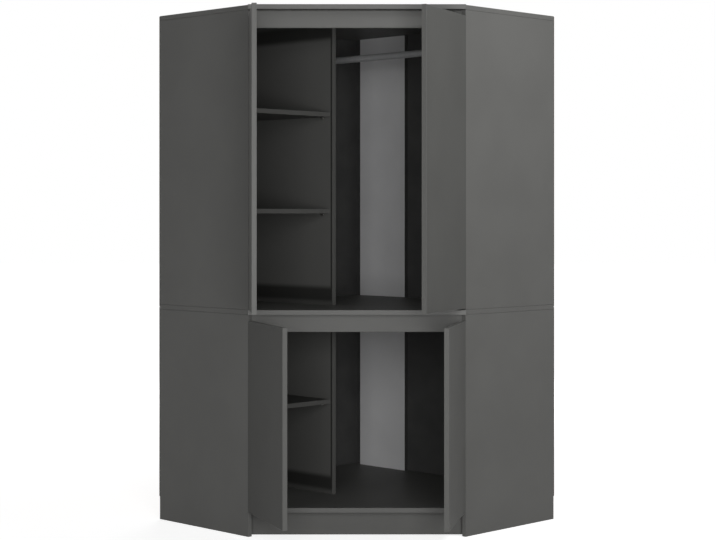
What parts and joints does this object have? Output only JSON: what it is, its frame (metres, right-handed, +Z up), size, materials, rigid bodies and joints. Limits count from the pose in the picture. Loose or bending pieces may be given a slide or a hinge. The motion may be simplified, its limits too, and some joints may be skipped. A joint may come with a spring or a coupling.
{
  "type": "corner wardrobe",
  "caption": "Corner wardrobe in two storeys, its diagonal front closed by hinged handleless doors, with a shelf bay on the left and a hanging rail on the right.",
  "frame": {"origin": "the middle of the front plinth's underside, on the floor, 52 mm behind the front plane of the carcass", "axes": "+X to the right along the front, +Y from the front to the room corner, +Z up; the two walls stand at 45 degrees to X and Y"},
  "size_m": [1.4142, 1.4118, 1.8],
  "materials": {
    "carcass_board": "anthracite melamine-faced chipboard, matt, fine pearl texture",
    "door_board": "anthracite melamine-faced chipboard, matt, edges banded",
    "back_fibreboard": "near-black lacquered fibreboard, matt",
    "pale_board": "light grey melamine-faced chipboard with dark edges, matt",
    "rail_steel": "satin chromed steel tube",
    "fitting_steel": "nickel-plated pressed steel"
  },
  "bodies": {
    "carcass": {"bottom_board": "carcass_board", "front_plinth": "carcass_board", "hanging_rail": "rail_steel", "lower_corner_board": "pale_board", "lower_divider": "carcass_board", "lower_left_back": "back_fibreboard", "lower_left_hinge_arm_1": "fitting_steel", "lower_left_hinge_arm_2": "fitting_steel", "lower_left_side": "carcass_board", "lower_lintel": "carcass_board", "lower_right_back": "back_fibreboard", "lower_right_hinge_arm_1": "fitting_steel", "lower_right_hinge_arm_2": "fitting_steel", "lower_right_side": "carcass_board", "lower_shelf": "carcass_board", "lower_shelf_pin_left_front": "fitting_steel", "lower_shelf_pin_left_rear": "fitting_steel", "lower_shelf_pin_right_front": "fitting_steel", "lower_shelf_pin_right_rear": "fitting_steel", "middle_board": "carcass_board", "rail_bracket": "fitting_steel", "rail_flange": "fitting_steel", "top_board": "carcass_board", "upper_corner_board": "pale_board", "upper_divider": "carcass_board", "upper_left_back": "back_fibreboard", "upper_left_hinge_arm_1": "fitting_steel", "upper_left_hinge_arm_2": "fitting_steel", "upper_left_hinge_arm_3": "fitting_steel", "upper_left_side": "carcass_board", "upper_lintel": "carcass_board", "upper_right_back": "back_fibreboard", "upper_right_hinge_arm_1": "fitting_steel", "upper_right_hinge_arm_2": "fitting_steel", "upper_right_hinge_arm_3": "fitting_steel", "upper_right_side": "carcass_board", "upper_shelf_1": "carcass_board", "upper_shelf_1_pin_left_front": "fitting_steel", "upper_shelf_1_pin_left_rear": "fitting_steel", "upper_shelf_1_pin_right_front": "fitting_steel", "upper_shelf_1_pin_right_rear": "fitting_steel", "upper_shelf_2": "carcass_board", "upper_shelf_2_pin_left_front": "fitting_steel", "upper_shelf_2_pin_left_rear": "fitting_steel", "upper_shelf_2_pin_right_front": "fitting_steel", "upper_shelf_2_pin_right_rear": "fitting_steel"},
    "upper_left_leaf": {"upper_left_door": "door_board", "upper_left_hinge_cup_1": "fitting_steel", "upper_left_hinge_cup_2": "fitting_steel", "upper_left_hinge_cup_3": "fitting_steel"},
    "upper_right_leaf": {"upper_right_door": "door_board", "upper_right_hinge_cup_1": "fitting_steel", "upper_right_hinge_cup_2": "fitting_steel", "upper_right_hinge_cup_3": "fitting_steel"},
    "lower_left_leaf": {"lower_left_door": "door_board", "lower_left_hinge_cup_1": "fitting_steel", "lower_left_hinge_cup_2": "fitting_steel"},
    "lower_right_leaf": {"lower_right_door": "door_board", "lower_right_hinge_cup_1": "fitting_steel", "lower_right_hinge_cup_2": "fitting_steel"}
  },
  "joints": [
    {"name": "upper_left_hinges", "type": "hinge", "parent": "carcass", "child": "upper_left_leaf", "pos_m": [-0.3575, -0.062, 0], "axis": [0, 0, -1], "range_deg": [-85, 10]},
    {"name": "upper_right_hinges", "type": "hinge", "parent": "carcass", "child": "upper_right_leaf", "pos_m": [0.3575, -0.062, 0], "axis": [0, 0, 1], "range_deg": [-66, 29]},
    {"name": "lower_left_hinges", "type": "hinge", "parent": "carcass", "child": "lower_left_leaf", "pos_m": [-0.3575, -0.062, 0], "axis": [0, 0, -1], "range_deg": [-69, 26]},
    {"name": "lower_right_hinges", "type": "hinge", "parent": "carcass", "child": "lower_right_leaf", "pos_m": [0.3575, -0.062, 0], "axis": [0, 0, 1], "range_deg": [-78, 17]}
  ]
}
